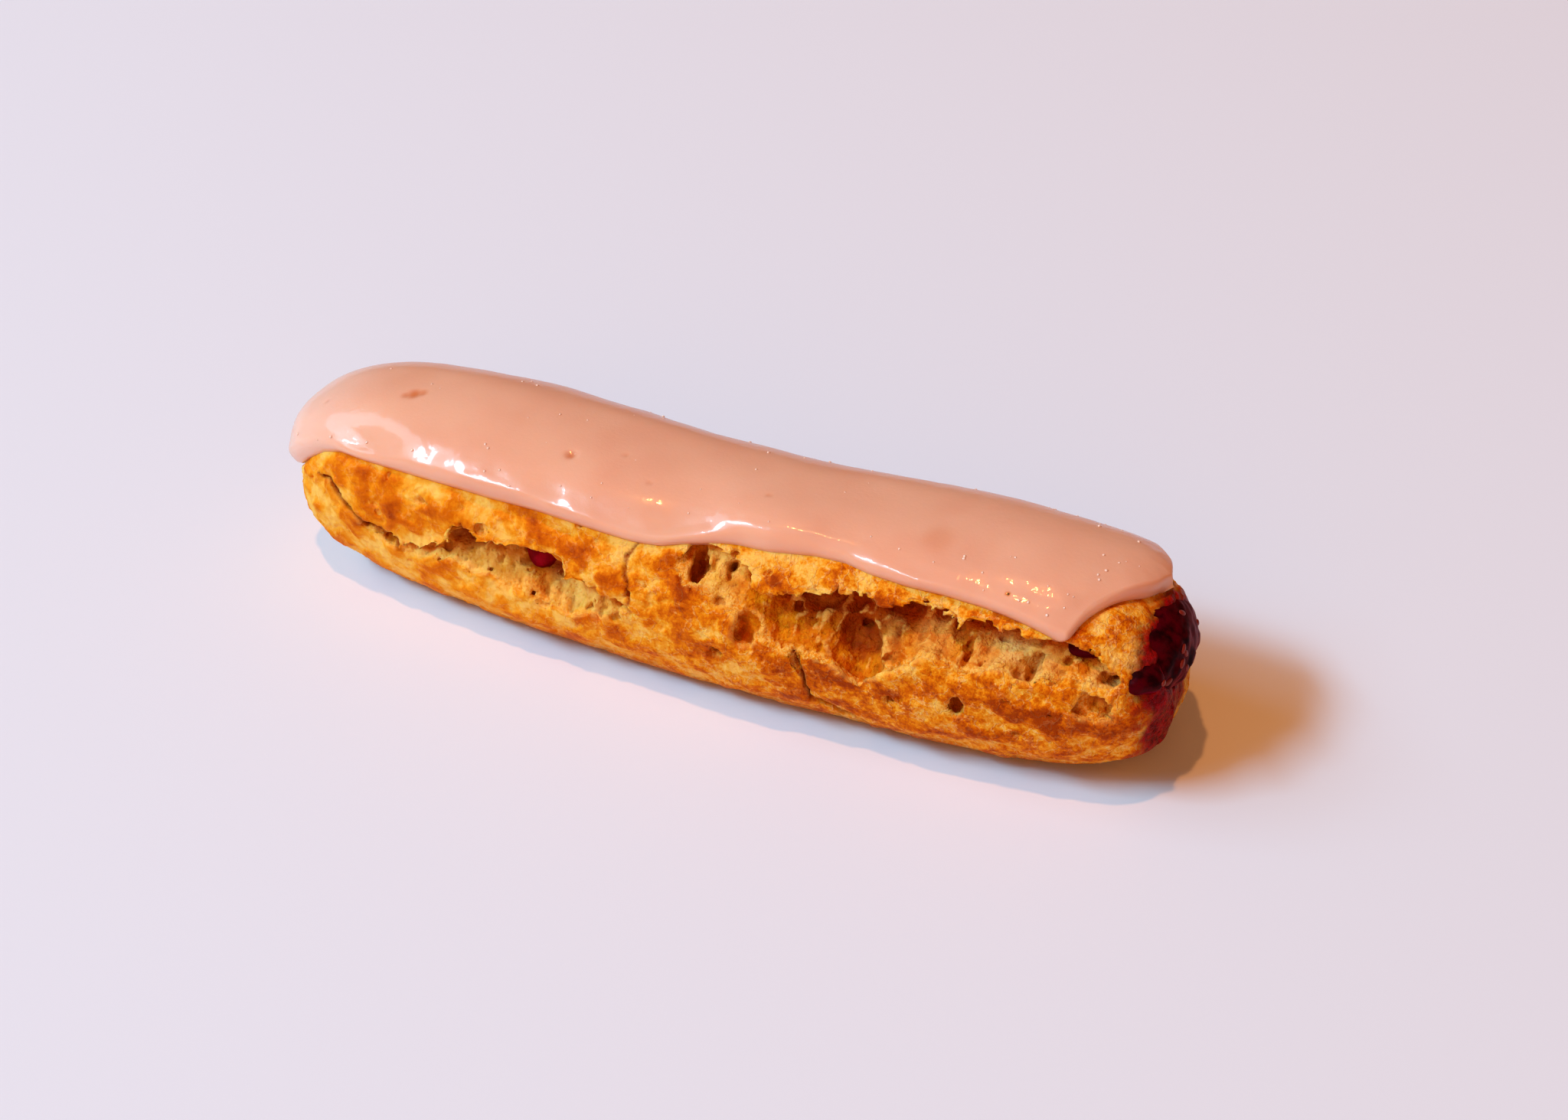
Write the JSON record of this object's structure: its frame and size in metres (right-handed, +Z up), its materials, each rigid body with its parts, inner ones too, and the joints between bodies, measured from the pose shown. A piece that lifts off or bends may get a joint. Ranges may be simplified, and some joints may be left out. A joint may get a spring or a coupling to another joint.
{
  "type": "raspberry eclair",
  "caption": "Long filled choux pastry with glossy pink icing on top, a torn front crust with open crumb, and raspberry jam swelling out of one end.",
  "frame": {"origin": "under the middle of the eclair, on the plane that it rests on", "axes": "+Z up, +X along the eclair to the end where the jam comes out, -Y to the torn front"},
  "size_m": [0.1512, 0.0382, 0.0343],
  "materials": {
    "crust": "golden baked choux crust, satin blisters and matte pale crumb",
    "icing": "glossy set pink sugar icing",
    "jam": "wet dark red raspberry jam"
  },
  "bodies": {
    "root": {"choux_bun": "crust", "pink_icing": "icing", "raspberry_filling": "jam"}
  },
  "joints": []
}
